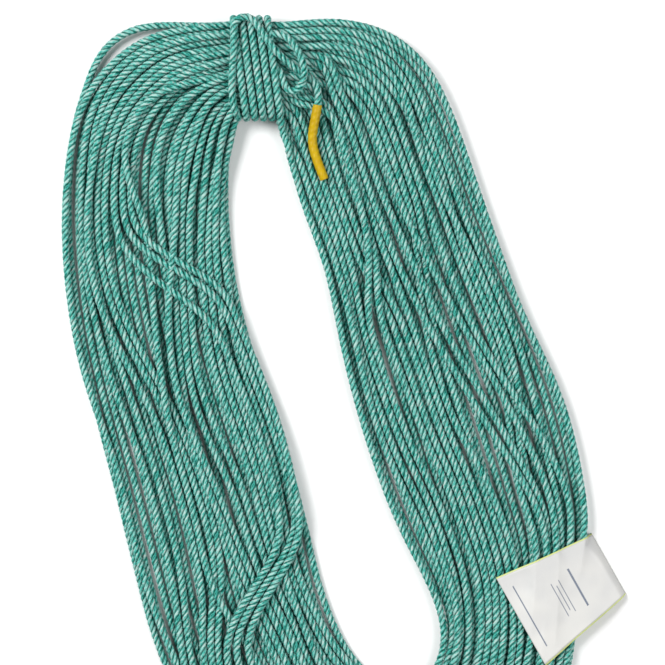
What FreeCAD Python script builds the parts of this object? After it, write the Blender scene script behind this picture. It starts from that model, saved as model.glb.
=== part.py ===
import FreeCAD, Part
import math
import os

# A hank of laid rope, bound at its upper end with turns of the rope's own end, with a sleeve on that end and a
# folded label round one limb. It lies flat on the ground with +Z up, its long axis along Y and the binding at +Y.
# All sizes are in millimetres. Places are given from a point inside the hank, and at the end the whole is moved
# so that the origin is on the ground under the middle of its box.

V = FreeCAD.Vector
UP = V(0, 0, 1)
DOWN = V(0, 0, -1)

# Rope
rope_diameter = 8.0
rope_sides = 5
turn_clearance = 0.5
ground_cut_share = 0.115

# Hank
loops_per_layer = 7
right_limb_top = (V(47, 160, 0), V(206, 182, 0))
right_limb_foot = (V(62, -205, 0), V(210, -190, 0))
left_limb_top = (V(-56, 190, 0), V(-212, 200, 0))
left_limb_foot = (V(-51, -200, 0), V(-223, -165, 0))
bottom = (V(3, -279, 0), V(3, -382, 0))
right_shoulder = (V(45, 282, 0), V(186, 319, 0))
right_shoulder_headings = (92, 99)
left_shoulder = (V(-40, 270, 0), V(-147, 397, 0))
left_shoulder_headings = (248, 227)

# Bound waist
waist_middle = V(28.2, 374.4, 0)
waist_heading = -15.5
waist_spread = 83.0
waist_half_run = 22.0
binding_turns = 5
binding_lean = 11.0
binding_side_radius = 9.0

# Sleeve on the rope's end
sleeve_wall = 0.6
sleeve_fit = 0.1
sleeve_sides = 8
sleeve_first_run = 36.5
sleeve_radius = 60.0
rope_end_recess = 2.0

# Label
label_sheet = 0.5
label_backing_sheet = 0.3
label_clearance = 0.4
label_fold_gap = 0.3
label_fold_middle = V(236, -198, 0)
label_heading = -76.0
label_fold_length = 70.0
label_free_edge = 100.0
label_free_edge_shift = 5.0
label_depth = 106.0
label_lower_depth = 92.0
label_knee = 19.0
label_knee_radius = 12.0
label_margin = 2.0

rope_radius = rope_diameter / 2
rope_flat = rope_radius * math.cos(math.pi / rope_sides)
layer_step = rope_diameter + turn_clearance
half_waist = waist_spread / 2
lower_z = rope_radius - ground_cut_share * rope_diameter
upper_z = lower_z + layer_step
waist_lift = layer_step
binding_z = upper_z + waist_lift + layer_step
crossing_z = binding_z + layer_step
label_lift = label_sheet + label_clearance + rope_flat - lower_z


def along(heading):
    a = math.radians(heading)
    return V(math.cos(a), math.sin(a), 0)


def at_waist(t, n, z=0.0):
    """A point given along the bound bundle to the right, across it outwards, and up."""
    return waist_middle + along(waist_heading) * t + along(waist_heading + 90) * n + UP * z


# Tubes along a route

def arc_edge(start, corner, end):
    """The arc from start to end whose end tangents meet at the corner."""
    chord_middle = (start + end) * 0.5
    rise = corner - chord_middle
    half_turn = math.atan2(rise.Length, (end - start).Length / 2)
    middle = chord_middle + rise * (math.cos(half_turn) / (1 + math.cos(half_turn)))
    return Part.Arc(start, middle, end).toShape()


def biarc_edges(start, start_direction, end, end_direction):
    """Two arcs with a common tangent, which leave start and reach end in the given directions."""
    run = end - start
    bend = 2 * (1 - start_direction.dot(end_direction))
    forward = run.dot(start_direction + end_direction)
    if bend < 1e-9:
        reach = run.dot(run) / (2 * forward)
    else:
        reach = (math.sqrt(forward * forward + bend * run.dot(run)) - forward) / bend
    first_corner = start + start_direction * reach
    last_corner = end - end_direction * reach
    meeting = (first_corner + last_corner) * 0.5
    return [arc_edge(start, first_corner, meeting), arc_edge(meeting, last_corner, end)]


def node_route(nodes):
    """A route through nodes, each a point and the rope's direction there: lines where both fit one, else biarcs."""
    edges = []
    for (start, start_direction), (end, end_direction) in zip(nodes, nodes[1:]):
        run = (end - start).normalize()
        if (run - start_direction).Length < 1e-6 and (run - end_direction).Length < 1e-6:
            edges.append(Part.LineSegment(start, end).toShape())
        else:
            edges += biarc_edges(start, start_direction, end, end_direction)
    return edges


def corner_route(corners, radii):
    """Straight runs from corner to corner, joined by a tangent arc of the given radius at each inner one."""
    edges = []
    here = corners[0]
    for before, corner, after, radius in zip(corners, corners[1:], corners[2:], radii):
        back = (before - corner).normalize()
        ahead = (after - corner).normalize()
        reach = radius / math.tan(back.getAngle(ahead) / 2)
        if (here - corner).dot(back) < reach:
            raise ValueError(f"no room for an arc of {radius:.1f} mm at {corner}")
        edges.append(Part.LineSegment(here, corner + back * reach).toShape())
        edges.append(arc_edge(corner + back * reach, corner, corner + ahead * reach))
        here = corner + ahead * reach
    edges.append(Part.LineSegment(here, corners[-1]).toShape())
    return edges


def faceted_tube(edges, radius, sides):
    """One unbroken tube along the route, with a corner of its section turned up at the start."""
    start = edges[0].valueAt(edges[0].FirstParameter)
    direction = edges[0].tangentAt(edges[0].FirstParameter)
    side = direction.cross(UP).normalize()
    first = side.cross(direction)
    corners = []
    for i in range(sides + 1):
        a = 2 * math.pi * i / sides
        corners.append(start + first * (radius * math.cos(a)) + side * (radius * math.sin(a)))
    shell = Part.BRepOffsetAPI.MakePipeShell(Part.Wire(edges))
    shell.add(Part.makePolygon(corners), False, False)
    shell.build()
    shell.makeSolid()
    return shell.shape()


def rope_tube(name, edges):
    """The rope along a route, cut flat where it rests on the ground. Its radii and volume are printed."""
    tube = faceted_tube(edges, rope_radius, rope_sides)
    length = sum(edge.Length for edge in edges)
    radii = [edge.Curve.Radius for edge in edges if isinstance(edge.Curve, Part.Circle)]
    section = rope_sides / 2 * rope_radius ** 2 * math.sin(2 * math.pi / rope_sides)
    print(f"{name}: {length:.0f} mm long, radii {min(radii):.1f} to {max(radii):.0f} mm,",
          f"volume {tube.Volume / (section * length):.4f} of section by length")
    if tube.BoundBox.ZMin < 0:
        tube = tube.cut(Part.makeBox(1000, 1200, 50, V(-500, -600, -50)))
    return tube


# Hank

class Station:
    """A line across the hank that each loop passes, from the innermost turn to the outermost.

    Its share is how far round a loop it lies, which sets how much of a turn's step the spiral has made there. The
    headings are those of the innermost and the outermost turn, or None at either end of a straight run.
    """

    def __init__(self, ends, share, lift, headings=None):
        self.inner, self.outer = ends
        self.share = share
        self.lift = lift
        self.headings = headings

    def node(self, turn, z):
        u = turn / (loops_per_layer - 0.1)
        place = self.inner + (self.outer - self.inner) * u + UP * (z + self.lift)
        if self.headings is None:
            return [place, None]
        return [place, along(self.headings[0] + (self.headings[1] - self.headings[0]) * u)]


def hank_stations():
    """The stations anticlockwise from above, as the rope runs, from the top of the right limb."""
    waist_right = (at_waist(waist_half_run, -half_waist), at_waist(waist_half_run, half_waist))
    waist_left = (at_waist(-waist_half_run, -half_waist), at_waist(-waist_half_run, half_waist))
    return [
        Station(right_limb_top, 0.00, label_lift),
        Station(right_shoulder, 0.10, waist_lift / 2, right_shoulder_headings),
        Station(waist_right, 0.20, waist_lift),
        Station(waist_left, 0.20, waist_lift),
        Station(left_shoulder, 0.31, waist_lift / 2, left_shoulder_headings),
        Station(left_limb_top, 0.42, 0),
        Station(left_limb_foot, 0.60, 0),
        Station(bottom, 0.75, 0, (0, 0)),
        Station(right_limb_foot, 0.90, label_lift),
    ]


def loop_nodes():
    """The whole hank's nodes, then those of the strand that goes up to the binding.

    The rope spirals out through the lower layer, climbs along the outer edge of the right limb, spirals in again
    through the upper layer, and goes on up the inner edge of the right limb.
    """
    stations = hank_stations()
    outermost = loops_per_layer - 0.1
    nodes = [stations[-1].node(0, lower_z)]
    for loop in range(loops_per_layer):
        nodes += [s.node(loop + s.share, lower_z) for s in stations]
    for loop in range(loops_per_layer):
        nodes += [s.node(outermost - loop - s.share, upper_z) for s in stations]
    nodes += [s.node(-0.1 - s.share, upper_z) for s in stations[:2]]
    for here, there in zip(nodes, nodes[1:]):
        if here[1] is None and there[1] is None:
            run = there[0] - here[0]
            here[1] = V(run.x, run.y, 0).normalize()
            there[1] = here[1]
    place, direction = nodes[-3]
    joint = [place + direction * rope_diameter, direction]
    return nodes[:-2] + [joint], [joint] + nodes[-2:]


# Binding

def top_run(turn, n):
    """A place on a binding turn's run over the bundle, which leans to the left as it goes outwards."""
    step = layer_step / math.cos(math.atan(binding_lean / waist_spread))
    t = ((binding_turns - 1) / 2 - turn) * step - binding_lean * n / waist_spread
    return at_waist(t, n, binding_z)


def binding_nodes(strand, end_n):
    """The strand goes over the bundle, and then each turn under it and over it again, up to end_n on the last.

    On either side a turn rounds the bundle's two edges and runs straight up or down between them.
    """
    drop = UP * (lower_z - binding_z)
    outwards = along(waist_heading + 90) * binding_side_radius
    edge = UP * binding_side_radius
    over = (top_run(0, half_waist) - top_run(0, -half_waist)).normalize()
    under = (top_run(1, -half_waist) - top_run(0, half_waist)).normalize()
    nodes = strand + [[top_run(0, -half_waist), over]]
    for turn in range(binding_turns - 1):
        outer = top_run(turn, half_waist)
        inner = top_run(turn + 1, -half_waist)
        nodes += [
            [outer, over],
            [outer + outwards - edge, DOWN],
            [outer + outwards + drop + edge, DOWN],
            [outer + drop, under],
            [inner + drop, under],
            [inner - outwards + drop + edge, UP],
            [inner - outwards - edge, UP],
            [inner, over],
        ]
    nodes.append([top_run(binding_turns - 1, end_n), over])
    return nodes


# Tail over the binding, bight that locks it, and sleeve on its end

def beside(steps, n_steps, up_steps):
    """A place to the right of the binding's first turn, given in steps between neighbouring ropes."""
    n = n_steps * layer_step
    return top_run(0, n) + along(waist_heading) * (steps * layer_step) + UP * (up_steps * layer_step)


tail_start_n = -20.0
tail_last_corner = beside(5.15, -2.4, 0)
sleeve_bend = tail_last_corner + at_waist(-5, -51, -2.0) - waist_middle
sleeve_end = sleeve_bend + at_waist(8, -37, -1.4) - waist_middle
tail_corners = [
    top_run(binding_turns - 1, tail_start_n),
    top_run(binding_turns - 1, -5),
    top_run(binding_turns - 1, 16) + UP * layer_step,
    top_run(binding_turns - 1, 44) + UP * layer_step,
    beside(0.53, 1.4, 1),
    beside(2.97, -0.62, 0),
    tail_last_corner,
    sleeve_bend,
    sleeve_end + (sleeve_bend - sleeve_end).normalize() * rope_end_recess,
]
tail_radii = [24, 24, 1.05 * layer_step, 26, 26, 24, sleeve_radius]

bight_corners = [
    beside(1.0, 3.9, 0),
    beside(2.8, 3.1, 0.6),
    beside(3.75, -0.5, 1.3),
    beside(3.1, -2.6, 0.95),
    beside(1.0, -3.2, 0.06),
    beside(1.0, -0.3, 0),
]
bight_radii = [radius * layer_step for radius in (2.2, 2.6, 1.15, 1.2)]


def make_sleeve():
    start = sleeve_bend + (tail_last_corner - sleeve_bend).normalize() * sleeve_first_run
    edges = corner_route([start, sleeve_bend, sleeve_end], [sleeve_radius])
    inner = (rope_radius + sleeve_fit) / math.cos(math.pi / sleeve_sides)
    outer = (rope_radius + sleeve_fit + sleeve_wall) / math.cos(math.pi / sleeve_sides)
    return faceted_tube(edges, outer, sleeve_sides).cut(faceted_tube(edges, inner, sleeve_sides))


# Label

def label_point(depth, shift, z=0.0):
    """A point of the label: how far in from its fold, how far along the fold from its middle, and up."""
    return label_fold_middle + along(label_heading - 90) * depth + along(label_heading) * shift + UP * z


def label_outline(depth, free_edge, margin):
    """The label seen from above, as a tall prism, from the fold to a free edge, less a margin on both sides."""
    half_fold = label_fold_length / 2 - margin
    half_free = free_edge / 2 - margin
    corners = [
        label_point(0, -half_fold, -1),
        label_point(0, half_fold, -1),
        label_point(depth, label_free_edge_shift + half_free, -1),
        label_point(depth, label_free_edge_shift - half_free, -1),
    ]
    return Part.Face(Part.makePolygon(corners + corners[:1])).extrude(UP * 50)


def label_sheet_between(low, high, margin):
    """One sheet of the upper leaf, between two heights over its underside: up from the fold, then level."""
    top_z = upper_z + label_lift + rope_radius + label_clearance
    fold_z = label_sheet + label_fold_gap
    rise = top_z - fold_z
    slope = math.hypot(label_knee, rise)
    lines = []
    for height in (low, high):
        knee = label_knee - height * (slope - label_knee) / rise
        corners = [
            label_point(0, -80, fold_z + height * slope / label_knee),
            label_point(knee, -80, top_z + height),
            label_point(label_depth + 5, -80, top_z + height),
        ]
        lines.append(Part.Wire(corner_route(corners, [label_knee_radius + height])))
    ends = [Part.makePolygon([lines[0].OrderedVertexes[i].Point, lines[1].OrderedVertexes[i].Point]) for i in (0, -1)]
    profile = Part.Face(Part.Wire(Part.__sortEdges__(lines[0].Edges + lines[1].Edges + ends[0].Edges + ends[1].Edges)))
    return profile.extrude(along(label_heading) * 160).common(label_outline(label_depth, label_free_edge, margin))


def make_lower_leaf():
    slab = Part.makeBox(1000, 1200, label_sheet, V(-500, -600, 0))
    return slab.common(label_outline(label_lower_depth, label_fold_length, 0))


# Checks on the routes

def route_points(edges, start, skip=0.0):
    """Points about 2 mm apart along a route, each with its distance along the rope."""
    length = sum(edge.Length for edge in edges)
    points = []
    travelled = 0.0
    for edge in edges:
        count = max(2, round(edge.Length / 2))
        for i, place in enumerate(edge.discretize(Number=count + 1)[:-1]):
            here = travelled + edge.Length * i / count
            if skip <= here <= length - skip:
                points.append((place, start + here))
        travelled += edge.Length
    return points


def least_gap(points):
    """The least gap between places that are at least five diameters apart along the rope."""
    cell = 1.5 * rope_diameter
    grid = {}
    for place, along_rope in points:
        key = (place.x // cell, place.y // cell, place.z // cell)
        grid.setdefault(key, []).append((place, along_rope))
    steps = [(a, b, c) for a in (-1, 0, 1) for b in (-1, 0, 1) for c in (-1, 0, 1)]
    least = cell
    for (x, y, z), members in grid.items():
        near = [p for a, b, c in steps for p in grid.get((x + a, y + b, z + c), [])]
        for place, along_rope in members:
            for other, along_other in near:
                if along_other - along_rope > 5 * rope_diameter:
                    least = min(least, (other - place).Length)
    return least - rope_diameter


def main():
    os.makedirs("parts", exist_ok=True)
    hank, strand = loop_nodes()
    hank_route = node_route(hank)
    binding_route = node_route(binding_nodes(strand, tail_start_n))
    tail_route = corner_route(tail_corners, tail_radii)
    bight_route = corner_route(bight_corners, bight_radii)

    hank_points = route_points(hank_route, 0)
    binding_points = route_points(binding_route, hank_points[-1][1])
    tail_points = route_points(tail_route, binding_points[-1][1])
    bight_points = route_points(bight_route, 1e6, rope_diameter)
    print(f"least gap of the hank to itself {least_gap(hank_points):.2f} mm,",
          f"of the binding to itself {least_gap(binding_points):.2f} mm,",
          f"of all the rope {least_gap(hank_points + binding_points + tail_points + bight_points):.2f} mm")

    pieces = {
        "rope_hank": rope_tube("rope_hank", hank_route),
        "binding_wraps": rope_tube("binding_wraps", binding_route),
        "rope_tail": rope_tube("rope_tail", tail_route),
        "locking_bight": rope_tube("locking_bight", bight_route),
        "end_sleeve": make_sleeve(),
        "label_lower_leaf": make_lower_leaf(),
        "label_upper_backing": label_sheet_between(0, label_backing_sheet, 0),
        "label_upper_face": label_sheet_between(label_backing_sheet, label_backing_sheet + label_sheet, label_margin),
    }
    box = Part.makeCompound(list(pieces.values())).BoundBox
    middle = V(box.Center.x, box.Center.y, 0)
    fold = label_fold_middle - middle
    rest = (hank[6][0] + hank[7][0]) * 0.5 - middle
    print(f"moved by {-middle.x:.2f}, {-middle.y:.2f}, the fold's middle is at {fold.x:.2f}, {fold.y:.2f},",
          f"and the inner turn of the left limb rests on the ground at {rest.x:.2f}, {rest.y:.2f}")
    for name, shape in pieces.items():
        shape.translate(middle * -1)
        box = shape.BoundBox
        print(f"{name}: valid {shape.isValid()}, {len(shape.Solids)} solid, z {box.ZMin:.2f} to {box.ZMax:.2f}")
        shape.exportStep(f"parts/{name}.step")


main()
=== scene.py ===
import functools
import math

import bpy
import numpy as np
from mathutils import Euler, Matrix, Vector


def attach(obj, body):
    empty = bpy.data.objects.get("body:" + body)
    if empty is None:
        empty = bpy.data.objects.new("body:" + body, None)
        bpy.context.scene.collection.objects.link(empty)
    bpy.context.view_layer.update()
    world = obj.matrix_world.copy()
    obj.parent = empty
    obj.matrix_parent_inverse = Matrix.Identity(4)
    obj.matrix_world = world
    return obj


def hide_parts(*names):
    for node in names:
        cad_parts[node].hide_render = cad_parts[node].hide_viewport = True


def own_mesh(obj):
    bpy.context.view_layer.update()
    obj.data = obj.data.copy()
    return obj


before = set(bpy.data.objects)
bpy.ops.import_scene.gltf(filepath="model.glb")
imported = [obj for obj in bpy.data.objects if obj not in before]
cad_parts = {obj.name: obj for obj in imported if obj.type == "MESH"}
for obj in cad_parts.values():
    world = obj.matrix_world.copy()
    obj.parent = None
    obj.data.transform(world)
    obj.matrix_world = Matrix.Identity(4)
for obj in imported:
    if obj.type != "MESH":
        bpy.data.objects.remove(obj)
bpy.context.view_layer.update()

bl_info = {
    "name": "Hank of laid rope",
    "version": (1, 0, 0),
    "blender": (4, 5, 0),
    "location": "View3D > Sidebar > Rope hank",
    "description": "Builds a bound hank of three-strand rope with a sleeve on its end and a folded label",
    "category": "Object",
}

# Places below are in millimetres from a point inside the hank, which the CAD model moves by this much.
CAD_SHIFT = np.array([-12.51, -23.79, 0.0])

# The picture looks straight down. These are the degrees by which the hank lies turned in it, the place in
# its middle, how much it shows from side to side, and the height at which it shows that much.
PICTURE_ROLL = 15.5
PICTURE_MIDDLE = (30.34, 100.03)
PICTURE_WIDTH = 665.0
PICTURE_LEVEL = 16.0
SENSOR_WIDTH = 36.0

# The middle of the bound bundle and the way in which it runs.
WAIST = np.array([28.2, 374.4])
WAIST_HEADING = math.radians(-15.5)


# Sizes and colours that a user would change

def length_property(name, description, default):
    return bpy.props.FloatProperty(name=name, description=description, default=default, min=0.0,
                                   unit="LENGTH")


def colour_property(name, description, default):
    return bpy.props.FloatVectorProperty(name=name, description=description, default=default, size=3,
                                         min=0.0, max=1.0, subtype="COLOR")


class RopeSettings(bpy.types.PropertyGroup):
    diameter: length_property("Diameter", "The rope across its three strands", 0.008)
    lay: length_property("Lay", "Length in which a strand goes once round the rope", 0.0195)
    turns: bpy.props.IntProperty(name="Turns", description="Whole turns in the hank", default=39,
                                 min=10, max=48)
    looseness: bpy.props.FloatProperty(name="Looseness", description="How far turns wander from their places",
                                       default=1.1, min=0.0, max=3.0)
    deep: colour_property("Deep green", "Darkest yarns of the rope", (0.003, 0.125, 0.100))
    mid: colour_property("Green", "Most of the yarns", (0.062, 0.370, 0.310))
    pale: colour_property("Mint", "Pale yarns", (0.27, 0.50, 0.46))
    grey: colour_property("Warm grey", "Undyed yarns", (0.41, 0.50, 0.47))


class SleeveSettings(bpy.types.PropertyGroup):
    wall: length_property("Wall", "Thickness of the shrunk sleeve", 0.0006)
    colour: colour_property("Yellow", "Colour of the sleeve", (0.45, 0.305, 0.001))


class LabelSettings(bpy.types.PropertyGroup):
    thickness: length_property("Thickness", "Thickness of the label's card", 0.0005)
    card: colour_property("Card", "Colour of the card", (0.50, 0.495, 0.475))
    edge: colour_property("Edge", "Colour of the backing that shows along the edges", (0.52, 0.58, 0.20))


class StageSettings(bpy.types.PropertyGroup):
    camera_height: length_property("Camera height", "Height of the camera over the floor", 2.6)
    key_power: bpy.props.FloatProperty(name="Key light", description="Power of the main softbox",
                                       default=200.0, min=0.0, unit="POWER")


# Places

def to_metres(points):
    """Places in the hank's millimetres as places in the frame, in metres."""
    return (np.asarray(points, float) + CAD_SHIFT) / 1000.0


def heading(degrees):
    a = math.radians(degrees)
    return np.array([math.cos(a), math.sin(a)])


def at_waist(t, n, z):
    """Places given along the bound bundle, across it outwards and up."""
    t, n, z = np.broadcast_arrays(np.asarray(t, float), np.asarray(n, float), np.asarray(z, float))
    along = np.array([math.cos(WAIST_HEADING), math.sin(WAIST_HEADING)])
    across = np.array([-along[1], along[0]])
    flat = WAIST + t[..., None] * along + n[..., None] * across
    return np.concatenate([flat, z[..., None]], axis=-1)


# The hank's turns

# Lines across the hank from its hole to its outside, anticlockwise from the foot of the right limb. Each
# has the inner place, the outer place, and how far the turns are lifted there.
STATIONS = [
    ((62, -190), (209, -182), 0.9),
    ((47, -100), (227, -108), 0.2),
    ((41, -15), (230, -10), 0.0),
    ((42, 85), (216, 90), 0.0),
    ((47, 165), (204, 180), 0.0),
    ((42, 235), (198, 255), 1.0),
    ((42, 285), (188, 325), 3.0),
    ((41.5, 312), (160, 369), 5.5),
    ((38, 323), (114, 395), 7.5),
    ((32.5, 328.5), (63, 407), 8.3),
    ((22, 331.5), (47, 413), 8.3),
    ((8, 335.5), (32, 418), 8.3),
    ((-7, 334), (10, 425), 8.0),
    ((-20.5, 313), (-74, 435), 5.0),
    ((-34, 275), (-149, 395), 2.2),
    ((-46, 225), (-190, 305), 0.5),
    ((-54, 165), (-211, 205), 0.0),
    ((-54, 90), (-219, 110), 0.0),
    ((-48, 5), (-221, 10), 0.0),
    ((-48, -78), (-224, -75), 0.0),
    ((-51, -150), (-224, -160), 0.0),
    ((-42, -215), (-204, -252), 0.0),
    ((-14, -256), (-128, -345), 0.0),
    ((22, -272), (8, -381), 0.0),
    ((52, -244), (140, -338), 0.7),
]

# Groups of turns of the upper layer that leave their places for a while. Each has its first and last rank
# counted from the hole for 17 turns in a layer, the stations between which it goes and comes back, how
# many ranks it moves, and whether it lies on top. Stations before the foot of the right limb are
# negative.
MOVES = [
    (8.6, 9.4, 15.32, 15.84, 18.9, 20.4, -8.4, True),
    (9.4, 10.3, 15.40, 15.95, 18.9, 20.4, -8.4, True),
    (10.3, 11.1, 15.36, 16.5, 19.0, 20.5, -8.2, True),
    (11.1, 13.4, 15.6, 17.8, 19.2, 20.8, -3.0, False),
    (13.4, 15.4, 15.8, 18.0, 19.2, 20.8, -1.5, False),
    (-1.0, 8.6, 15.6, 17.4, 18.9, 20.6, 1.3, False),
    (2.6, 4.6, 3.0, 4.2, 6.0, 7.6, 2.2, True),
    (4.6, 6.6, 3.0, 4.2, 6.0, 7.6, -1.8, False),
    (8.8, 11.6, -2.6, -0.4, 0.7, 3.0, 3.4, True),
    (11.6, 14.2, -2.6, -0.4, 0.7, 3.0, -1.8, False),
    (3.0, 8.8, -2.6, -0.4, 0.7, 3.0, 0.8, False),
    (8.4, 11.0, 2.2, 4.8, 6.6, 8.0, -2.8, True),
    (5.6, 8.4, 2.6, 4.6, 6.4, 7.8, 2.2, False),
    (7.6, 8.6, 12.6, 13.6, 14.4, 15.2, 2.4, True),
    (15.8, 17.5, 12.3, 13.0, 13.3, 14.0, 2.0, False),
]
# Where the upper turns part. Each has the share of the way from the hole outwards, the first and last
# station, and a weight.
PARTINGS = [
    (0.85, 4.7, 8.6, 1.0), (0.60, 4.3, 7.2, 0.6), (0.49, 3.4, 5.6, 0.7), (0.03, 4.4, 6.4, 0.5),
    (0.30, 2.2, 4.6, 0.4), (0.45, 1.2, 2.8, 0.5), (0.10, 0.3, 1.8, 0.4), (0.94, 0.0, 2.7, 0.4),
    (0.68, -2.6, 1.2, 0.6), (0.30, -3.0, -0.4, 0.5), (0.44, 13.6, 15.6, 0.8), (0.86, 14.2, 16.4, 0.8),
    (0.63, 13.0, 14.6, 0.6), (0.20, 13.6, 15.6, 0.5), (0.74, 16.4, 18.2, 0.5), (0.30, 16.6, 18.2, 0.6),
    (0.65, 17.8, 19.4, 0.7), (0.56, 18.0, 19.6, 0.6), (0.48, 18.8, 20.6, 0.6), (0.85, 19.2, 21.6, 0.5),
    (0.35, 21.0, 22.6, 0.5),
]
EVEN_WEIGHT = 1.2  # of the room that is shared evenly between the upper turns
RANKS_IN_MOVES = 16.0  # steps of rank from the innermost turn to the outermost, as the moves count them
PACKED_WIDTH = 8.1  # of one turn lying close beside the next
STEPS = 8  # places worked out from each station to the next
SEED = 7


def smooth_noise(rng, count, width):
    """Slowly changing random numbers along the rope: noise averaged over a width, with a spread of one."""
    raw = rng.standard_normal(count + 2 * width)
    kernel = np.hanning(width + 2)[1:-1]
    averaged = np.convolve(raw, kernel / math.sqrt((kernel ** 2).sum()), mode="same")
    return averaged[width:width + count]


def catmull(points, steps):
    """The points with others between them, on a cubic through four neighbours at a time."""
    p = np.concatenate([2 * points[:1] - points[1:2], points, 2 * points[-1:] - points[-2:-1]])
    a, b, c, d = (x[:, None] for x in (p[:-3], p[1:-2], p[2:-1], p[3:]))
    t = (np.arange(steps) / steps)[None, :, None]
    squared, cubed = 2 * a - 5 * b + 4 * c - d, 3 * b - a - 3 * c + d
    between = 0.5 * (2 * b + (c - a) * t + squared * t ** 2 + cubed * t ** 3)
    return np.concatenate([between.reshape(-1, points.shape[1]), points[-1:]])


def ramp(x, low, high):
    """Nothing below low, one above high, and a smooth rise between."""
    t = np.clip((x - low) / (high - low), 0, 1)
    return t * t * (3 - 2 * t)


def designed_turns(turns, looseness):
    """Where each turn is laid before the rope settles.

    The rope goes round in one layer from the hole outwards and in a second one back inwards. Its place on
    each station's line is the turn's rank plus a slow random wander and the moves of its group. Spare
    room goes to the partings. Returns the places, the lift at each, and its order from below upwards.
    """
    lines = np.array([[*s[0], *s[1], s[2]] for s in STATIONS], float)
    count = len(lines)
    per_loop = count * STEPS
    lines = catmull(np.concatenate([lines[-1:], lines, lines[:2]]), STEPS)[STEPS:STEPS + per_loop]
    place = np.arange(turns * per_loop + count // 3 * STEPS + 1)
    lines = lines[place % per_loop]
    loop = place // per_loop
    station = (place % per_loop) / STEPS
    past_half = station > count / 2
    from_foot = station - count * past_half
    going_on = ramp(station, 20.5, 25.0)
    half = (turns + 1) // 2
    rng = np.random.default_rng(SEED)
    lower = loop < half
    back = (2 * half - turns + 0.5) * going_on * (loop == half - 1)
    rank = np.where(lower, loop + going_on - back, turns - 0.5 - loop - going_on)
    order = loop + station / count
    in_waist = ramp(station, 7.5, 9.0) - ramp(station, 11.0, 12.5)
    around = 2 * math.pi * station / count
    share = np.clip(rank / (half - 1), 0, 1)
    drift = 0.5 * np.sin(5.0 * share + 3 * around) + 0.35 * np.sin(11.0 * share - 5 * around + 1.0)
    slow, quick = (smooth_noise(rng, len(place), stations * STEPS) for stations in (7, 2))
    wander = slow * 0.5 + 0.15 * quick
    loose = looseness * np.where(lower, 0.10, 1.0)
    rank = rank + (wander + drift * (1 - share ** 4)) * loose * (1 - 0.7 * in_waist)
    wider = (half - 1) / RANKS_IN_MOVES
    for first, last, go, gone, back, home, shift, on_top in MOVES:
        before_foot = go < 0
        at = from_foot if before_foot else station
        own_rank = turns - 0.5 - loop - past_half * before_foot
        member = (own_rank >= first * wider) & (own_rank < last * wider) & (loop >= half - 1)
        away = ramp(at, go, gone) - ramp(at, back, home)
        rank = rank + np.where(member, away * shift * wider, 0.0)
        order = order + np.where(member & (away > 0) & on_top, 20.0, 0.0)
    u = rank / (half - 1)
    across = lines[:, 2:4] - lines[:, :2]
    spare = np.clip(1 - PACKED_WIDTH * half / np.linalg.norm(across, axis=1), 0, 1)
    opened, weights, closed = 0.0, EVEN_WEIGHT, 0.0
    for middle, first, last, weight in PARTINGS:
        at = from_foot if first < 0 else station
        wide = weight * np.sin(math.pi * np.clip((at - first) / (last - first), 0, 1))
        under = round(middle * (half - 1)) / (half - 1)
        opened = opened + wide * ramp(u, under - 0.026, under + 0.026)
        weights = weights + wide
        closed = closed - 0.012 * wide * np.sin(2 * math.pi * np.clip((u - under) / 0.3, -0.5, 0.5))
    parted = u * (1 - spare) + spare * (opened + EVEN_WEIGHT * u) / weights
    u = np.clip(np.where(lower, u * 0.99 + closed, parted), -0.02, 1.12)
    flat = lines[:, :2] + across * u[:, None]
    on_top = order > loop + 1
    lift = np.maximum(lines[:, 4], 0.0)
    z = 4.0 + lift + np.where(lower, 0.0, 7.0) + 0.1 * (loop % half) + np.where(on_top, 7.0, 0.0)
    return np.column_stack([flat, z, lift, order])


def close_pairs(p, per_loop, reach):
    """Pairs of a place and a segment of another turn that are nearer than reach.

    They are looked for among those at like shares of a turn.
    """
    n = len(p)
    firsts, seconds = [], []
    index = np.arange(n)
    for loops in range(1, n // per_loop + 2):
        for shift in range(-3, 4):
            other = index + loops * per_loop + shift
            keep = other < n - 1
            a, b = index[keep], other[keep]
            near = ((p[a] - p[b]) ** 2).sum(1) < reach * reach
            firsts.append(a[near])
            seconds.append(b[near])
    a, b = np.concatenate(firsts), np.concatenate(seconds)
    a = np.minimum(a, n - 2)
    return np.concatenate([a, b]), np.concatenate([b, a])


SINK = 0.25  # by which every place sinks in a round
UPPER_FLOOR = 6.3  # over the floor, under which the upper layer doesn't sink outside the waist
WAIST_ROOF = 28.5  # over which no turn rises inside the binding
LATER_ON_TOP = 0.35  # of the rope's diameter, by which the rope laid later starts over the one it crosses


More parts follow.
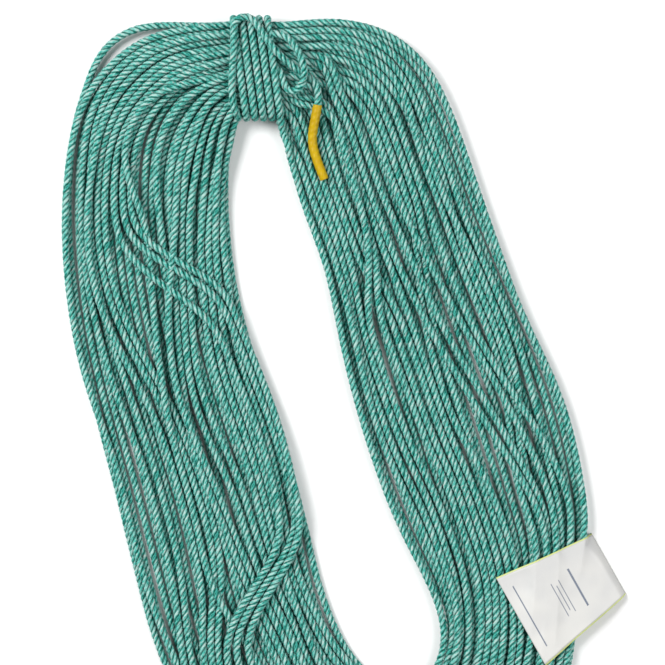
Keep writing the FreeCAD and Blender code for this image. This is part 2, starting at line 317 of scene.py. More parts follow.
def settle(start, lift, order, per_loop, diameter, rounds):
    """The turns after they have pushed each other apart and sunk onto the floor.

    In each round every place sinks a little, overlapping ropes part along the line between them, the rope
    laid later going on top where they cross, the moves are spread along the rope, and the floor holds
    them up.
    """
    p = start.copy()
    n = len(p)
    in_waist = np.clip((lift - 6.0) / 2.0, 0, 1)
    lower = start[:, 2] - lift < 10.5
    hold = np.where(lower, 0.40, 0.04) + 0.06 * in_waist
    floor = diameter / 2 + lift + np.where(lower, 0.0, UPPER_FLOOR * (1 - in_waist))
    roof = np.where(lift > 7.9, WAIST_ROOF, 60.0)
    for step in range(rounds):
        if step % 8 == 0:
            a, b = close_pairs(p, per_loop, diameter + 9.0)
        p[:, 2] -= SINK
        seg = p[b + 1] - p[b]
        along = np.clip(((p[a] - p[b]) * seg).sum(1) / np.maximum((seg * seg).sum(1), 1e-9), 0, 1)
        gap = p[a] - (p[b] + along[:, None] * seg)
        later = np.sign(order[a] - order[b])
        flat = np.hypot(gap[:, 0], gap[:, 1])
        crossing = flat < 0.55 * diameter
        above = LATER_ON_TOP * diameter
        gap[:, 2] = np.where(crossing & (gap[:, 2] * later < above), above * later, gap[:, 2])
        long = np.maximum(np.linalg.norm(gap, axis=1), 1e-6)
        depth = np.maximum(diameter - long, 0.0)
        push = gap / long[:, None] * (0.5 * depth)[:, None]
        move = np.zeros_like(p)
        for axis in range(3):
            move[:, axis] += np.bincount(a, push[:, axis], n)
            move[:, axis] -= np.bincount(b, push[:, axis] * (1 - along), n)
            move[:, axis] -= np.bincount(b + 1, push[:, axis] * along, n)
        hit = (depth > 0).astype(float)
        hits = np.bincount(a, hit, n) + np.bincount(b, hit * 0.5, n) + np.bincount(b + 1, hit * 0.5, n)
        p += move / np.maximum(1.0, 0.45 * hits)[:, None] * 0.9
        away = p - start
        for _ in range(2):
            away[1:-1] += 0.3 * (away[:-2] + away[2:] - 2 * away[1:-1])
        away[:, :2] *= (1 - hold)[:, None]
        p = start + away
        p[:, 2] = np.clip(p[:, 2], floor, roof)
    for _ in range(6):
        p[1:-1] += 0.25 * (p[:-2] + p[2:] - 2 * p[1:-1])
    return p


WRAPS = 5.1  # turns of the binding
WRAP_PLACES = 20  # worked out in each of them
WRAP_PITCH = 8.5  # from one to the next along the bundle
WRAP_LEAN = 11.0 / 83.0  # along the bundle for each millimetre across it
WRAP_HALF_WIDTH, WRAP_HALF_HEIGHT, WRAP_MIDDLE = 50.0, 16.0, 20.0
WRAP_BOXINESS = 2.8  # the power of a rounded box's outline, 2 for an ellipse


def wrap_points():
    """The rope's turns round the bundle.

    A turn is a rounded box: out and up go as signed powers of the cosine and sine, and the shift along
    the bundle is made underneath.
    """
    turn = np.arange(0, round(WRAPS * WRAP_PLACES)) / WRAP_PLACES
    angle = math.pi - turn * 2 * math.pi
    power = 2 / WRAP_BOXINESS
    c, s = np.cos(angle), np.sin(angle)
    n = WRAP_HALF_WIDTH * np.sign(c) * np.abs(c) ** power
    z = WRAP_MIDDLE + WRAP_HALF_HEIGHT * np.sign(s) * np.abs(s) ** power
    at_turn = np.floor(turn) + ramp(turn % 1, 0.5, 1.0)
    t = (2 - at_turn) * WRAP_PITCH - WRAP_LEAN * n
    return at_waist(t, n, z)


# The way from the last turn up to the wraps: the turn is left this many places before its end, and joins
# the wraps at this one of their places.
LEFT_EARLY, JOINED_AT = STEPS + 5, 2
RISE = [at_waist(26.3, -66, 15.2), at_waist(25.0, -60, 18.2), at_waist(23.9, -53.5, 23.0)]


def rest_height(places, rope, reach, floor):
    """How high a thing of that reach lies over each place.

    It is the highest point of balls of that radius round the rope's places, or the floor. The places are
    taken some at a time to save memory.
    """
    out = np.full(len(places), floor, float)
    some = 400
    for start in range(0, len(places), some):
        part = places[start:start + some, None, :2] - rope[None, :, :2]
        near = reach * reach - (part ** 2).sum(2)
        height = np.where(near > 0, rope[None, :, 2] + np.sqrt(np.maximum(near, 0)), floor)
        out[start:start + some] = np.maximum(floor, height.max(1))
    return out


# The rope's way from the binding's last turn to its end.
TAIL = [
    at_waist(-22, -42, 32.5), at_waist(-24.2, -30, 35.6), at_waist(-24.5, -18, 36.4), at_waist(-24, -7, 37.2),
    at_waist(-23.2, 5, 39.6), at_waist(-22.4, 17, 41.8), at_waist(-22.4, 31, 42.0), at_waist(-22.6, 43, 39.6),
    at_waist(-16, 49.5, 36.6), at_waist(-6.5, 49.5, 36.6), at_waist(0.5, 42, 39.8), at_waist(9, 28, 42.6),
    at_waist(22, 11, 43.9), at_waist(43, -5.3, 37.5), at_waist(56, -12, 33.5), at_waist(62, -24, 30.0),
    at_waist(60.5, -39, 28), at_waist(57.0, -56, 26), at_waist(54.6, -71, 25), at_waist(58.0, -88, 24),
    at_waist(66.6, -109, 23.0),
]
TAIL_ON_LIMB = 15  # from this point on the tail lies on the turns of the right limb
SLEEVE_LENGTH = 77.0
SLEEVE_PAST_END = 2.0  # over which the sleeve stands beyond the rope

# The loop that locks the binding, from under one neighbour to under another.
BIGHT = [
    at_waist(4, 34.5, 28.0), at_waist(12, 34, 31.5), at_waist(22, 32.5, 34.0), at_waist(31, 29, 36.5),
    at_waist(39, 19, 41.5), at_waist(45, 7, 44.5), at_waist(48, -6, 44.5), at_waist(46, -17, 42.0),
    at_waist(40, -24, 38.0), at_waist(32, -24.5, 35.0), at_waist(27, -17, 33.5), at_waist(24.5, -7, 33.0),
    at_waist(20, 0, 32.0), at_waist(13, 2, 28.0),
]


def nurbs_line(points, resolution):
    """The line that Blender's own spline draws for these control points, in metres."""
    curve = bpy.data.curves.new("rope_line", "CURVE")
    curve.dimensions = "3D"
    spline = curve.splines.new("NURBS")
    spline.points.add(len(points) - 1)
    four = np.column_stack([points, np.ones(len(points))])
    spline.points.foreach_set("co", four.ravel())
    spline.use_endpoint_u = True
    spline.order_u = 3
    spline.resolution_u = resolution
    holder = bpy.data.objects.new("rope_line", curve)
    mesh = bpy.data.meshes.new_from_object(holder)
    line = np.empty(len(mesh.vertices) * 3)
    mesh.vertices.foreach_get("co", line)
    bpy.data.objects.remove(holder)
    bpy.data.curves.remove(curve)
    bpy.data.meshes.remove(mesh)
    return line.reshape(-1, 3)


def lengths_along(line):
    return np.concatenate([[0.0], np.cumsum(np.linalg.norm(np.diff(line, axis=0), axis=1))])


def resampled(line, at):
    along = lengths_along(line)
    return np.stack([np.interp(at, along, line[:, k]) for k in range(3)], axis=1)


def dense(points, step):
    along = lengths_along(points)
    return resampled(points, np.arange(0, along[-1], step))


@functools.lru_cache(maxsize=2)
def settled_turns(turns, looseness, diameter):
    """The hank's places after settling, in millimetres."""
    laid = designed_turns(turns, looseness)
    per_loop = len(STATIONS) * STEPS
    rounds = 160
    return settle(laid[:, :3], laid[:, 3], laid[:, 4], per_loop, diameter, rounds)


def turns_as_set(rope):
    """The settled turns for the rope's settings."""
    return settled_turns(rope.turns, round(rope.looseness, 4), rope.diameter * 1000)


def tail_points(turns, diameter):
    """The tail's points, with those over the right limb let down onto its turns, and bridging the dips."""
    tail = np.array(TAIL)
    on = slice(TAIL_ON_LIMB, None)
    rest = rest_height(tail[on], dense(turns, 3.0), diameter, 4.0)
    tail[on, 2] = rest + 0.2
    bridged = (tail[TAIL_ON_LIMB - 1:-2, 2] + tail[TAIL_ON_LIMB + 1:, 2]) / 2
    tail[TAIL_ON_LIMB:-1, 2] = np.maximum(tail[TAIL_ON_LIMB:-1, 2], bridged)
    return tail


# Meshes

STRAND_SIDES = 12  # round the rope's section
RINGS_PER_LAY = 8
TILE_LAYS = 16  # in which the rope's pattern repeats


def strand_section(sides):
    """A section through three strands: at each angle the furthest of three circles round a common middle."""
    a = np.arange(sides) / sides * 2 * math.pi
    off = (a + math.pi / 3) % (2 * math.pi / 3) - math.pi / 3
    centre, radius = 0.36, 0.64
    return a, centre * np.cos(off) + np.sqrt(radius ** 2 - (centre * np.sin(off)) ** 2)


def directions_along(line):
    d = np.gradient(line, axis=0)
    return d / np.maximum(np.linalg.norm(d, axis=1), 1e-12)[:, None]


def laid_rope_mesh(name, line, radius, lay, first_ring, reference):
    """Three twisted strands along a line.

    Each ring is the strands' section turned by the share of a lay that the rope has run. Its map holds
    the place along a tile of whole lays and the place round the section, so a pattern drawn on it repeats
    without a seam.
    """
    sides = STRAND_SIDES
    total = lengths_along(line)[-1]
    rings = max(2, int(round(total / lay * RINGS_PER_LAY)) + 1)
    at = np.linspace(0, total, rings)
    centre = resampled(line, at)
    d = directions_along(centre)
    side = np.cross(d, reference)
    side /= np.linalg.norm(side, axis=1)[:, None]
    up = np.cross(side, d)
    angle, rho = strand_section(sides)
    turn = 2 * math.pi * (first_ring + np.arange(rings)) / RINGS_PER_LAY
    a = angle[None, :] + turn[:, None]
    offset = up[:, None, :] * np.cos(a)[..., None] + side[:, None, :] * np.sin(a)[..., None]
    vertices = (centre[:, None, :] + offset * (radius * rho)[None, :, None]).reshape(-1, 3)
    i, j = np.meshgrid(np.arange(rings - 1), np.arange(sides), indexing="ij")
    i, j = i.ravel(), j.ravel()
    k = (j + 1) % sides
    quads = np.column_stack([i * sides + j, (i + 1) * sides + j, (i + 1) * sides + k, i * sides + k])
    tile = TILE_LAYS * RINGS_PER_LAY
    u0 = ((first_ring + i) % tile) / tile
    u1 = u0 + 1.0 / tile
    v0, v1 = j / sides, (j + 1) / sides
    uv = np.stack([u0, v0, u1, v0, u1, v1, u0, v1], axis=1).reshape(-1, 2)
    ends = [list(range(sides)), list(range((rings - 1) * sides, rings * sides))[::-1]]
    mesh = bpy.data.meshes.new(name)
    mesh.from_pydata(vertices.tolist(), [], quads.tolist() + ends)
    layer = mesh.uv_layers.new(name="OFBake")
    cap = np.tile([[0.0, 0.0]], (2 * sides, 1))
    layer.uv.foreach_set("vector", np.concatenate([uv, cap]).astype(np.float32).ravel())
    mesh.shade_smooth()
    mesh.update()
    return mesh, centre, first_ring + rings - 1


def closed_tube(name, rings):
    """A mesh through rings of points, the last ring joined to the first, as for a wall with an inside."""
    count, sides = rings.shape[:2]
    i, j = (x.ravel() for x in np.meshgrid(np.arange(count), np.arange(sides), indexing="ij"))
    k, m = (j + 1) % sides, (i + 1) % count
    quads = np.column_stack([i * sides + j, m * sides + j, m * sides + k, i * sides + k])
    mesh = bpy.data.meshes.new(name)
    mesh.from_pydata(rings.reshape(-1, 3).tolist(), [], quads.tolist())
    mesh.shade_smooth()
    mesh.update()
    return mesh


def sleeve_mesh(name, centre, at, rope_radius, wall, lay):
    """A thin tube shrunk onto the rope.

    Its outside stands the wall's thickness over the rope and shows the three strands under it as a
    shallow swell that turns once in a lay. Its ends are drawn in a little and rounded, and its inside
    follows at a little less than the wall's thickness.
    """
    sides = 36
    d = directions_along(centre)
    side = np.cross(d, np.array([0.0, 0.0, 1.0]))
    side /= np.linalg.norm(side, axis=1)[:, None]
    up = np.cross(side, d)
    a = np.arange(sides) / sides * 2 * math.pi
    run = at - at[0]
    swell = 0.00016 * np.cos(3 * (a[None, :] - 2 * math.pi * run[:, None] / lay))
    from_end = np.minimum(run, run[-1] - run)
    drawn_in = 0.00035 * np.exp(-from_end / 0.0015)
    outer = rope_radius + wall + swell - drawn_in[:, None]
    inner = outer - wall * 0.8

    around = up[:, None, :] * np.cos(a)[None, :, None] + side[:, None, :] * np.sin(a)[None, :, None]

    def rings(radius, rows):
        return centre[rows, None, :] + around[rows] * radius[rows][..., None]

    rows = np.arange(len(centre))
    lip_out, lip_in = rings(outer - wall * 0.25, rows), rings(inner + wall * 0.2, rows)
    nudge = d * 0.0002
    return closed_tube(name, np.concatenate([
        rings(outer, rows), lip_out[-1:] + nudge[-1], lip_in[-1:] + nudge[-1], rings(inner, rows[::-1]),
        lip_in[:1] - nudge[0], lip_out[:1] - nudge[0],
    ]))


def leaf_mesh(name, top, thickness):
    """A sheet between a grid of points and the same grid set back along its normals, closed round its edges.

    Its map runs from 0 to 1 both ways on both sides.
    """
    rows, cols = top.shape[:2]
    across = np.cross(np.gradient(top, axis=0), np.gradient(top, axis=1))
    normal = across / np.maximum(np.linalg.norm(across, axis=2), 1e-12)[..., None]
    normal *= np.sign(normal[rows // 2, cols // 2, 2])
    bottom = top - normal * thickness
    points = np.concatenate([top.reshape(-1, 3), bottom.reshape(-1, 3)])
    i, j = (x.ravel() for x in np.meshgrid(np.arange(rows - 1), np.arange(cols - 1), indexing="ij"))
    face = np.column_stack([i * cols + j, (i + 1) * cols + j, (i + 1) * cols + j + 1, i * cols + j + 1])
    rim = np.concatenate([np.arange(cols), np.arange(1, rows) * cols + cols - 1,
                          (rows - 1) * cols + np.arange(cols - 2, -1, -1), np.arange(rows - 2, 0, -1) * cols])
    after = np.roll(rim, -1)
    half = rows * cols
    edge = np.column_stack([rim, after, after + half, rim + half])
    faces = np.concatenate([face, face[:, ::-1] + half, edge])
    mesh = bpy.data.meshes.new(name)
    mesh.from_pydata(points.tolist(), [], faces.tolist())
    layer = mesh.uv_layers.new(name="OFBake")
    shares = np.meshgrid(np.linspace(0, 1, rows), np.linspace(0, 1, cols), indexing="ij")
    flat = np.stack(shares, 2).reshape(-1, 2)
    layer.uv.foreach_set("vector", np.concatenate([flat, flat])[faces.ravel()].astype(np.float32).ravel())
    mesh.shade_smooth()
    mesh.update()
    if mesh.polygons[(rows // 2) * (cols - 1) + cols // 2].normal.z < 0:
        mesh.flip_normals()
    return mesh


def add_piece(name, mesh, body, slot, *nodes):
    piece = bpy.data.objects.new(name, mesh)
    bpy.context.scene.collection.objects.link(piece)
    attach(piece, body)
    if nodes:
        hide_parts(*nodes)
    return piece


# Materials

def new_material(name):
    material = bpy.data.materials.get(name)
    if material:
        return material, None, None
    material = bpy.data.materials.new(name)
    material.use_nodes = True
    tree = material.node_tree
    return material, tree, tree.nodes["Principled BSDF"]


def node(tree, kind, inputs=None, **settings):
    made = tree.nodes.new(kind)
    for key, value in settings.items():
        setattr(made, key, value)
    for key, value in (inputs or {}).items():
        if isinstance(value, bpy.types.NodeSocket):
            tree.links.new(value, made.inputs[key])
        else:
            made.inputs[key].default_value = value
    return made


def maths(tree, operation, *values):
    made = tree.nodes.new("ShaderNodeMath")
    made.operation = operation
    for i, value in enumerate(values):
        if isinstance(value, bpy.types.NodeSocket):
            tree.links.new(value, made.inputs[i])
        else:
            made.inputs[i].default_value = value
    return made.outputs[0]


def colour_ramp(tree, factor, *stops):
    """The colour that a factor picks from stops, each a place from 0 to 1 and a colour, in rising order."""
    made = node(tree, "ShaderNodeValToRGB", {0: factor})
    elements = made.color_ramp.elements
    for element, (place, colour) in zip(elements, (stops[0], stops[-1])):
        element.position = place
        element.color = (*colour, 1)
    for place, colour in stops[1:-1]:
        elements.new(place).color = (*colour, 1)
    return made.outputs[0]


def rope_material(settings):
    """Yarns in four colours along the strands, with painted shade darkening the grooves between strands."""
    material, tree, shader = new_material("laid_rope")
    if tree is None:
        return material
    uv = node(tree, "ShaderNodeUVMap", uv_map="OFBake").outputs[0]
    parts = node(tree, "ShaderNodeSeparateXYZ", {0: uv})
    u, v = parts.outputs[0], parts.outputs[1]
    # A yarn keeps its place across the rope, so round the turning section it shifts by one turn in each
    # lay.
    yarn = maths(tree, "ADD", v, maths(tree, "MULTIPLY", u, float(TILE_LAYS)))
    round_u = maths(tree, "MULTIPLY", u, 2 * math.pi)
    round_v = maths(tree, "MULTIPLY", v, 2 * math.pi)
    round_y = maths(tree, "MULTIPLY", yarn, 2 * math.pi)

    def ring_noise(name, angle, along, across, scale, detail):
        place = node(tree, "ShaderNodeCombineXYZ", {
            0: maths(tree, "MULTIPLY", maths(tree, "COSINE", round_u), along),
            1: maths(tree, "MULTIPLY", maths(tree, "SINE", round_u), along),
            2: maths(tree, "MULTIPLY", maths(tree, "COSINE", angle), across),
        })
        made = node(tree, "ShaderNodeTexNoise", {
            "Vector": place.outputs[0], "W": maths(tree, "MULTIPLY", maths(tree, "SINE", angle), across),
            "Scale": scale, "Detail": detail, "Roughness": 0.55,
        }, noise_dimensions="4D")
        made.label = name
        return made.outputs[0]

    flecks = ring_noise("flecks", round_v, 9.0, 1.1, 1.6, 2.0)
    patches = ring_noise("patches", round_v, 2.4, 0.5, 1.6, 1.0)
    shift = maths(tree, "MULTIPLY", maths(tree, "SUBTRACT", patches, 0.5), 0.45)
    flecks = maths(tree, "ADD", flecks, shift)
    yarns = ring_noise("yarns", round_y, 5.0, 1.6, 1.5, 1.0)
    fibres = ring_noise("fibres", round_y, 26.0, 7.0, 3.0, 2.0)
    mixed = colour_ramp(tree, flecks, (0.36, settings.deep), (0.43, settings.mid), (0.50, settings.mid),
                        (0.57, settings.pale), (0.66, settings.grey))
    tinted = node(tree, "ShaderNodeMix", {
        "Factor": maths(tree, "MULTIPLY", maths(tree, "GREATER_THAN", yarns, 0.56), 0.55),
        6: mixed, 7: (*settings.pale, 1),
    }, data_type="RGBA")
    # Painted shade: the yarns are darkened towards deep teal in the three grooves round the section, where
    # the strands meet.
    crest = maths(tree, "ABSOLUTE", maths(tree, "COSINE", maths(tree, "MULTIPLY", v, 3 * math.pi)))
    painted_groove_shade = colour_ramp(tree, crest, (0.05, (0.004, 0.16, 0.13)), (0.80, (1, 1, 1)))
    colour = node(tree, "ShaderNodeMix", {
        "Factor": 1.0, 6: tinted.outputs[2], 7: painted_groove_shade,
    }, data_type="RGBA", blend_type="MULTIPLY").outputs[2]
    tree.links.new(colour, shader.inputs["Base Color"])
    shader.inputs["Roughness"].default_value = 0.72
    shader.inputs["Specular IOR Level"].default_value = 0.08
    bump = node(tree, "ShaderNodeBump", {"Height": fibres, "Strength": 0.35, "Distance": 0.0004})
    tree.links.new(bump.outputs[0], shader.inputs["Normal"])
    return material


def sleeve_material(settings):
    """Shrunk plastic, a little glossy, with faint cloudy spots."""
    material, tree, shader = new_material("shrunk_sleeve")
    if tree is None:
        return material
    place = node(tree, "ShaderNodeTexCoord").outputs["Object"]
    cloud = node(tree, "ShaderNodeTexNoise", {"Vector": place, "Scale": 220.0, "Detail": 3.0}).outputs[0]
    r, g, b = settings.colour
    colour = colour_ramp(tree, cloud, (0.3, (r * 0.85, g * 0.78, b)), (0.7, (r, g, b)))
    tree.links.new(colour, shader.inputs["Base Color"])
    rough = node(tree, "ShaderNodeMapRange", {0: cloud, 3: 0.34, 4: 0.48}).outputs[0]
    tree.links.new(rough, shader.inputs["Roughness"])
    shader.inputs["Specular IOR Level"].default_value = 0.2
    bump = node(tree, "ShaderNodeBump", {"Height": cloud, "Strength": 0.12, "Distance": 0.0003})
    tree.links.new(bump.outputs[0], shader.inputs["Normal"])
    return material


def ruled_lines(tree, lines):
    """One on plain lines given by their place across the map, half width, middle along it and half length."""
    uv = node(tree, "ShaderNodeUVMap", uv_map="OFBake").outputs[0]
    parts = node(tree, "ShaderNodeSeparateXYZ", {0: uv})
    total = 0.0
    for place, width, middle, length in lines:
        near = maths(tree, "COMPARE", parts.outputs[0], place, width)
        within = maths(tree, "COMPARE", parts.outputs[1], middle, length)
        total = maths(tree, "ADD", total, maths(tree, "MULTIPLY", near, within))
    return total


def card_material(name, colour, crease, lines=()):
    """Coated card with soft creases that carry painted shade, a fine tooth, and plain grey lines where print
    would be.
    """
    material, tree, shader = new_material(name)
    if tree is None:
        return material
    place = node(tree, "ShaderNodeTexCoord").outputs["Object"]
    tooth = node(tree, "ShaderNodeTexNoise", {"Vector": place, "Scale": 900.0, "Detail": 2.0}).outputs[0]
    fold = node(tree, "ShaderNodeTexNoise", {"Vector": place, "Scale": 22.0, "Detail": 2.0}).outputs[0]
    r, g, b = colour
    # Painted shade in the creases: the card is darker where the crease noise is low.
    colour = colour_ramp(tree, fold, (0.32, (r * 0.86, g * 0.87, b * 0.9)), (0.62, (r, g, b)))
    if lines:
        colour = node(tree, "ShaderNodeMix", {
            "Factor": ruled_lines(tree, lines), 6: colour, 7: (0.10, 0.12, 0.16, 1),
        }, data_type="RGBA").outputs[2]
    tree.links.new(colour, shader.inputs["Base Color"])
    shader.inputs["Roughness"].default_value = 0.5
    first = node(tree, "ShaderNodeBump", {"Height": fold, "Strength": crease, "Distance": 0.004})
    bump = node(tree, "ShaderNodeBump", {"Height": tooth, "Strength": 0.12, "Distance": 0.0002,
                                         "Normal": first.outputs[0]})
    tree.links.new(bump.outputs[0], shader.inputs["Normal"])
    return material


# Operators

class HANK_OT_camera(bpy.types.Operator):
    """Sets the camera straight over the hank, rolled as in the picture"""
    bl_idname = "hank.camera"
    bl_label = "Camera"

    def execute(self, context):
        settings = context.scene.hank_stage
        middle = to_metres([*PICTURE_MIDDLE, 0.0])
        data = bpy.data.cameras.new("camera")
        data.sensor_width = SENSOR_WIDTH
        distance = settings.camera_height - PICTURE_LEVEL / 1000
        data.lens = SENSOR_WIDTH * distance / (PICTURE_WIDTH / 1000)
        data.clip_end = 20.0
        camera = bpy.data.objects.new("camera", data)
        camera.location = (middle[0], middle[1], settings.camera_height)
        camera.rotation_euler = Euler((0, 0, math.radians(-PICTURE_ROLL)))
        context.scene.collection.objects.link(camera)
        context.scene.camera = camera
        return {"FINISHED"}


# The one line of rope is cut into pieces: the hank's turns in this many, up to this many places before
# their end, and the binding up to this point of the tail.
HANK_PARTS = 3
BINDING_EARLY = 8 * STEPS
TAIL_LEAVES_AT = 4


class HANK_OT_rope(bpy.types.Operator):
    """Lays the hank's turns and carries three twisted strands along them"""
    bl_idname = "hank.rope"
    bl_label = "Rope"

    def execute(self, context):
        s = context.scene.hank_rope
        radius = s.diameter / 2
        turns = turns_as_set(s)
        tail = tail_points(turns, s.diameter * 1000)
        route = np.concatenate([turns[:-LEFT_EARLY], RISE, wrap_points()[JOINED_AT:], tail])
        line = nurbs_line(to_metres(route), 4)
        along = lengths_along(line)
        marks = [along[np.linalg.norm(line - to_metres(place), axis=1).argmin()]
                 for place in (turns[-BINDING_EARLY], tail[TAIL_LEAVES_AT])]
        material = rope_material(s)
        cuts = np.concatenate([np.linspace(0, marks[0], HANK_PARTS + 1), marks[1:], along[-1:]])
        names = [f"hank_rope_{i + 1}" for i in range(HANK_PARTS)] + ["binding_rope", "tail_rope"]
        nodes = ["rope_hank"] * HANK_PARTS + ["binding_wraps", "rope_tail"]
        up = np.array([0.0, 0.0, 1.0])
        waist = np.array([math.cos(WAIST_HEADING), math.sin(WAIST_HEADING), 0.0])
        ring = 0
        for name, stands_for, low, high in zip(names, nodes, cuts, cuts[1:]):
            at = np.concatenate([[low], along[(along > low) & (along < high)], [high]])
            reference = waist if name == "binding_rope" else up
            mesh, centre, ring = laid_rope_mesh(name, resampled(line, at), radius, s.lay, ring, reference)
            mesh.materials.append(material)
            piece = add_piece(name, mesh, "hank", "rope", stands_for)
        bight = nurbs_line(to_metres(BIGHT), 8)
        mesh, centre, _ = laid_rope_mesh("locking_loop", bight, radius, s.lay, 0, up)
        mesh.materials.append(material)
        piece = add_piece("locking_loop", mesh, "hank", "rope", "locking_bight")
        return {"FINISHED"}


class HANK_OT_sleeve(bpy.types.Operator):
    """Shrinks the sleeve onto the rope's end"""
    bl_idname = "hank.sleeve"
    bl_label = "Sleeve"

    def execute(self, context):
        s = context.scene.hank_sleeve
        rope = context.scene.hank_rope
        line = nurbs_line(to_metres(tail_points(turns_as_set(rope), rope.diameter * 1000)), 12)
        last = line[-1] - line[-2]
        beyond = line[-1] + last / np.linalg.norm(last) * SLEEVE_PAST_END / 1000
        line = np.concatenate([line, [beyond]])
        end = lengths_along(line)[-1]
        at = np.linspace(end - SLEEVE_LENGTH / 1000, end, 76)
        mesh = sleeve_mesh("end_sleeve_shrunk", resampled(line, at), at, rope.diameter / 2, s.wall, rope.lay)
        mesh.materials.append(sleeve_material(s))
        add_piece("end_sleeve_shrunk", mesh, "hank", "sleeve", "end_sleeve")
        return {"FINISHED"}


# The label's places: the middle of its fold, the way in from the fold, and the way along it.
FOLD_MIDDLE = np.array([236.0, -198.0])
LABEL_IN = heading(-166)
LABEL_ALONG = heading(-76)
LABEL_DEPTH, LOWER_DEPTH = 106.0, 92.0  # of the upper and the lower leaf, from the fold
FOLD_LENGTH, FREE_EDGE = 70.0, 100.0
KNEE_HEIGHT, KNEE_DEPTH = 17.4, 17.0  # of the upper leaf's rise beside its fold, and how wide the rise is
LABEL_GAP = 0.35  # by which the backing's top lies over the turns, and the face's over the backing's
# Plain lines on the card. Each has the share of the way in from the fold, half its width, the share of
# the way along the fold where its middle is, and half its length.
LABEL_LINES = [(0.37, 0.010, 0.52, 0.27), (0.50, 0.004, 0.53, 0.22), (0.54, 0.004, 0.53, 0.17),
               (0.58, 0.004, 0.53, 0.22), (0.90, 0.006, 0.50, 0.36)]


def label_grid(depth, free_edge, margin, rows, cols):
    """Places of a leaf on a grid from the fold to the free edge, and how far each is from the fold.

    The leaf's width grows evenly from the fold's length, and its middle shifts along the fold as it does.
    """
    a = np.linspace(0, 1, rows)[:, None]
    b = np.linspace(-1, 1, cols)[None, :]
    half = FOLD_LENGTH / 2 + (free_edge - FOLD_LENGTH) / 2 * a - margin
    along = 5.0 * a + half * b
    place = FOLD_MIDDLE + (depth * a)[..., None] * LABEL_IN + along[..., None] * LABEL_ALONG
    return place, a * depth


def label_leaf_mesh(name, place, z, thickness):
    """A leaf through places of a grid at those heights, in millimetres."""
    points = to_metres(np.concatenate([place, z[..., None]], axis=2))
    return leaf_mesh(name, points, thickness / 1000)


def draped(low, start, rounds):
    """A stiff sheet let down onto heights: it is averaged with its neighbours and kept above them in turn."""
    z = start.copy()
    for _ in range(rounds):
        wide = np.pad(z, 1, mode="edge")
        z = (wide[:-2, 1:-1] + wide[2:, 1:-1] + wide[1:-1, :-2] + wide[1:-1, 2:]) / 4 - 0.02
        z = np.maximum(z, low)
    return z


class HANK_OT_label(bpy.types.Operator):
    """Folds the label round the right limb and drapes its upper leaf over the turns"""
    bl_idname = "hank.label"
    bl_label = "Label"

    def execute(self, context):
        s = context.scene.hank_label
        rope = context.scene.hank_rope
        near = dense(turns_as_set(rope), 3.0)
        near = near[(near[:, 0] > 100) & (near[:, 1] < -120)]
        face = card_material("label_card", s.card, 0.9, LABEL_LINES)
        plain_face = card_material("label_card_plain", s.card, 0.4)
        edge = card_material("label_edge", s.edge, 0.1)
        thick = s.thickness * 1000
        for name, stands_for, margin, over, sheet, material, slot in (
            ("label_backing", "label_upper_backing", 0.0, 0.0, 0.3, edge, "label_backing"),
            ("label_face", "label_upper_face", 1.4, LABEL_GAP, thick, face, "label_face"),
        ):
            place, depth = label_grid(LABEL_DEPTH, FREE_EDGE, margin, 64, 48)
            low = rest_height(place.reshape(-1, 2), near, 4.4, 0.8).reshape(place.shape[:2])
            knee = 0.8 + KNEE_HEIGHT * np.clip(depth / KNEE_DEPTH, 0, 1) ** 0.75
            z = draped(low, np.maximum(low, knee), 160)
            z = np.where(depth < KNEE_DEPTH, np.maximum(np.minimum(z, knee), low), z) + over + LABEL_GAP
            mesh = label_leaf_mesh(name, place, z, sheet)
            mesh.materials.append(material)
            piece = add_piece(name, mesh, "label_leaf", slot, stands_for)
            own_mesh(piece)
        place, _ = label_grid(LOWER_DEPTH, FOLD_LENGTH, 0.0, 40, 30)
        mesh = label_leaf_mesh("label_underside", place, np.full(place.shape[:2], 0.5), thick)
        mesh.materials.append(plain_face)
        piece = add_piece("label_underside", mesh, "hank", "label_face", "label_lower_leaf")
        return {"FINISHED"}


FLOOR_HALF_SIDE = 6.0
SKY_LIGHT = 0.24  # strength with which the backdrop lights the hank


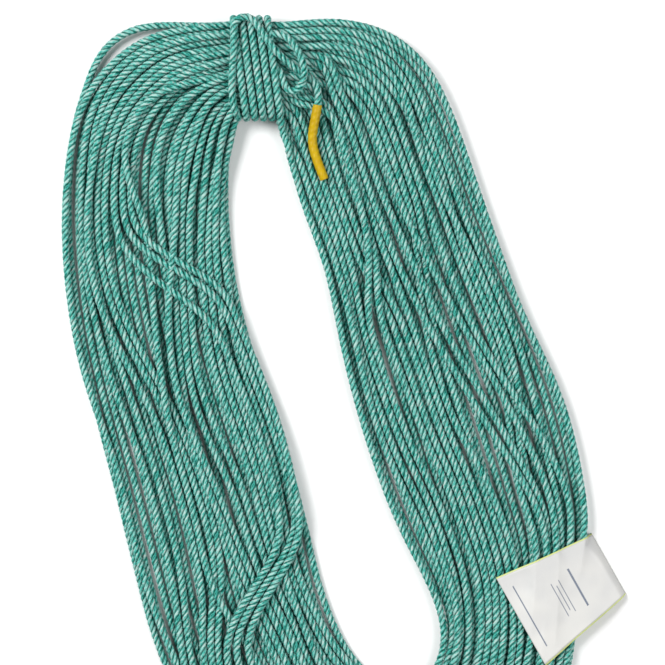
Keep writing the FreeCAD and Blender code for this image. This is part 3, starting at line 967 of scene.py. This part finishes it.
class HANK_OT_stage(bpy.types.Operator):
    """Lays a pale floor and hangs soft studio lights"""
    bl_idname = "hank.stage"
    bl_label = "Stage"

    def execute(self, context):
        scene = context.scene
        s = scene.hank_stage
        side = FLOOR_HALF_SIDE
        corners = [(-side, -side, 0), (side, -side, 0), (side, side, 0), (-side, side, 0)]
        mesh = bpy.data.meshes.new("floor")
        mesh.from_pydata(corners, [], [(0, 1, 2, 3)])
        floor = bpy.data.objects.new("floor", mesh)
        floor.location.z = -0.0003
        scene.collection.objects.link(floor)
        material, tree, shader = new_material("floor_white")
        shader.inputs["Base Color"].default_value = (0.80, 0.80, 0.80, 1)
        shader.inputs["Roughness"].default_value = 0.9
        mesh.materials.append(material)
        world = bpy.data.worlds.new("studio")
        world.use_nodes = True
        scene.world = world
        tree = world.node_tree
        background = tree.nodes["Background"]
        background.inputs["Color"].default_value = (1.0, 1.0, 1.0, 1)
        # The backdrop is white where it is seen or mirrored, and lights the hank with less.
        rays = node(tree, "ShaderNodeLightPath").outputs
        mirrored = maths(tree, "MAXIMUM", rays["Is Glossy Ray"], rays["Is Transmission Ray"])
        seen = maths(tree, "MAXIMUM", rays["Is Camera Ray"], mirrored)
        strength = node(tree, "ShaderNodeMapRange", {0: seen, 3: SKY_LIGHT, 4: 1.0}).outputs[0]
        tree.links.new(strength, background.inputs["Strength"])
        for name, place, size, power in (
            ("key", (-1.9, 1.7, 3.0), 2.0, s.key_power),
            ("fill", (1.7, -1.1, 2.4), 2.2, s.key_power * 0.35),
        ):
            light = bpy.data.lights.new(name, "AREA")
            light.size = size
            light.energy = power
            holder = bpy.data.objects.new(name, light)
            holder.location = place
            holder.rotation_euler = (-Vector(place)).to_track_quat("-Z", "Y").to_euler()
            scene.collection.objects.link(holder)
        scene.view_settings.view_transform = "Standard"
        return {"FINISHED"}


class HANK_PT_panel(bpy.types.Panel):
    """Lists the hank's pieces and their sizes"""
    bl_idname = "HANK_PT_panel"
    bl_label = "Rope hank"
    bl_space_type = "VIEW_3D"
    bl_region_type = "UI"
    bl_category = "Rope hank"

    def draw(self, context):
        scene = context.scene
        for settings, operators in (
            (scene.hank_rope, ("hank.rope",)),
            (scene.hank_sleeve, ("hank.sleeve",)),
            (scene.hank_label, ("hank.label",)),
            (scene.hank_stage, ("hank.camera", "hank.stage")),
        ):
            box = self.layout.box()
            for key in settings.__annotations__:
                box.prop(settings, key)
            for name in operators:
                box.operator(name)


CLASSES = (RopeSettings, SleeveSettings, LabelSettings, StageSettings, HANK_OT_camera, HANK_OT_rope,
           HANK_OT_sleeve, HANK_OT_label, HANK_OT_stage, HANK_PT_panel)


def register():
    for c in CLASSES:
        bpy.utils.register_class(c)
    bpy.types.Scene.hank_rope = bpy.props.PointerProperty(type=RopeSettings)
    bpy.types.Scene.hank_sleeve = bpy.props.PointerProperty(type=SleeveSettings)
    bpy.types.Scene.hank_label = bpy.props.PointerProperty(type=LabelSettings)
    bpy.types.Scene.hank_stage = bpy.props.PointerProperty(type=StageSettings)


def unregister():
    for name in ("hank_rope", "hank_sleeve", "hank_label", "hank_stage"):
        delattr(bpy.types.Scene, name)
    for c in reversed(CLASSES):
        bpy.utils.unregister_class(c)


def main():
    register()
    bpy.ops.hank.camera()
    bpy.ops.hank.rope()
    bpy.ops.hank.sleeve()
    bpy.ops.hank.label()
    bpy.ops.hank.stage()


if __name__ == "__main__":
    main()
